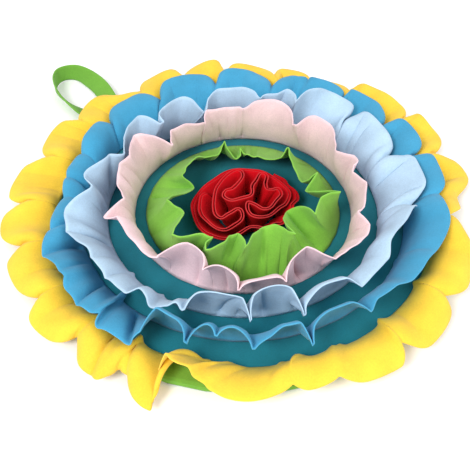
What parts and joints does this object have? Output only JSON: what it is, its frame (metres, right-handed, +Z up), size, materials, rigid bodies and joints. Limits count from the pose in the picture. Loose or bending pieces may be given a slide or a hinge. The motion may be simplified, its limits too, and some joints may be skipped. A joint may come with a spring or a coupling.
{
  "type": "snuffle mat",
  "caption": "Round padded fleece mat with concentric circles of gathered ruffles, a gathered rosette in the middle and a hanging loop at its rim.",
  "frame": {"origin": "middle of the flat underside of the mat, which rests on the surface", "axes": "+Z up out of the mat; -Y towards the side where the yellow ruffle has its upright flap; the hanging loop leaves the rim between -X and +Y"},
  "size_m": [0.479, 0.4717, 0.0632],
  "materials": {
    "teal_fleece": "matte fleece",
    "green_tape": "matte knitted tape",
    "yellow_fleece": "matte fleece",
    "blue_fleece": "matte fleece",
    "sky_fleece": "matte fleece",
    "pink_fleece": "matte fleece",
    "leaf_fleece": "matte fleece",
    "red_fleece": "matte fleece",
    "green_ribbon": "matte knitted tape"
  },
  "bodies": {
    "root": {"base_mat": "teal_fleece", "edge_binding": "green_tape", "ruffle_yellow": "yellow_fleece", "ruffle_blue": "blue_fleece", "ruffle_sky": "sky_fleece", "ruffle_pink": "pink_fleece", "ruffle_green": "leaf_fleece", "rosette_red": "red_fleece", "hanging_loop": "green_ribbon"}
  },
  "joints": []
}
